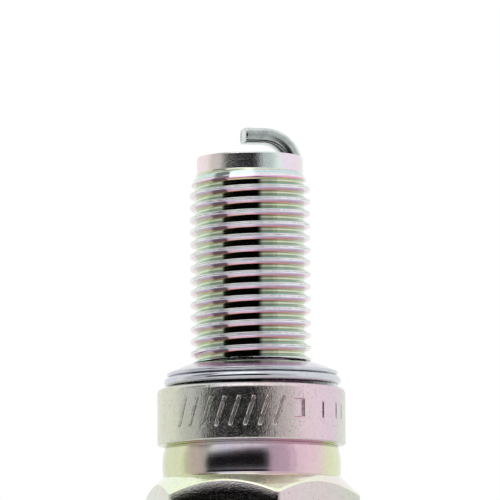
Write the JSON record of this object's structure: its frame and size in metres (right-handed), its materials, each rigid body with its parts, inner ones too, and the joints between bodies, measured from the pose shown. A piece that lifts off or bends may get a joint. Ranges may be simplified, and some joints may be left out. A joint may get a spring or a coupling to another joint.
{
  "type": "spark plug",
  "caption": "Motorcycle spark plug with a long threaded shell, hexagon, folded captive gasket, ribbed ceramic insulator, hooked ground electrode and removable terminal nut.",
  "frame": {"origin": "centre of the shell's gasket seat on the plug's axis, the plane the 19 mm reach is measured from", "axes": "+Z along the plug's axis towards the firing end, +X towards the ground electrode's leg, +Y completes the frame"},
  "size_m": [0.0174, 0.0178, 0.0719],
  "materials": {
    "plated_steel": "bright zinc plating with a thin iridescent passivation",
    "nickel_alloy": "satin nickel alloy",
    "glazed_alumina": "clear glazed white alumina",
    "copper": "drawn copper",
    "seal_glass": "copper-filled conductive glass, opaque",
    "resistor_compound": "carbon and glass compound",
    "plated_steel_stud": "nickel plated steel",
    "terminal_metal": "turned, satin plated",
    "gasket_steel": "bright zinc plated soft steel",
    "packing_steel": "soft steel",
    "talc": "pressed talc powder"
  },
  "bodies": {
    "plug": {"metal_shell": "plated_steel", "ground_electrode": "nickel_alloy", "insulator": "glazed_alumina", "centre_electrode": "nickel_alloy", "electrode_copper_core": "copper", "front_glass_seal": "seal_glass", "resistor": "resistor_compound", "rear_glass_seal": "seal_glass", "terminal_stud": "plated_steel_stud", "seat_packing": "packing_steel", "front_wire_ring": "packing_steel", "rear_wire_ring": "packing_steel", "talc_packing": "talc"},
    "gasket": {"folded_gasket": "gasket_steel"},
    "nut": {"terminal_nut": "terminal_metal"}
  },
  "joints": [
    {"name": "gasket_turn", "type": "hinge", "parent": "plug", "child": "gasket", "pos_m": [0, 0, 0], "axis": [0, 0, 1], "continuous": true},
    {"name": "terminal_nut_off", "type": "slide", "parent": "plug", "child": "nut", "axis": [0, 0, -1], "range_m": [0, 0.008]}
  ]
}
